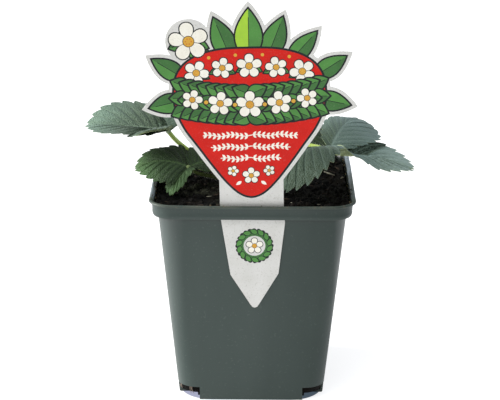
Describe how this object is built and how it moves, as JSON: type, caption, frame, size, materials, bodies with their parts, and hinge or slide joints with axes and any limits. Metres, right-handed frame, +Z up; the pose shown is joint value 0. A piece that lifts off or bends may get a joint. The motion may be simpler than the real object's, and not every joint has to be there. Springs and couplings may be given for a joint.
{
  "type": "potted strawberry plant",
  "caption": "Young strawberry plant with toothed three-part leaves in a square nursery pot of soil, with a printed card label held in the rim.",
  "frame": {"origin": "centre of the pot's flat underside", "axes": "+Z up, -Y to the front where the label stands, +X to the right seen from the front"},
  "size_m": [0.1864, 0.1404, 0.232],
  "materials": {
    "pot": "semi-matte recycled plastic, dark grey-green",
    "soil": "moist crumbly peat soil, near black",
    "crown": "rough brown stem base",
    "stalk": "fresh hairy leaf stalk, yellow-green",
    "leaf": "fresh leaf, matt grey-green with sunken veins",
    "card": "coated card, off-white with a printed pattern"
  },
  "bodies": {
    "root": {"pot": "pot", "soil": "soil", "crown": "crown", "petiole_1": "stalk", "petiole_2": "stalk", "petiole_3": "stalk", "petiole_4": "stalk", "petiole_5": "stalk", "leaf_1": "leaf", "leaf_2": "leaf", "leaf_3": "leaf", "leaf_4": "leaf", "leaf_5": "leaf", "label": "card"}
  },
  "joints": []
}
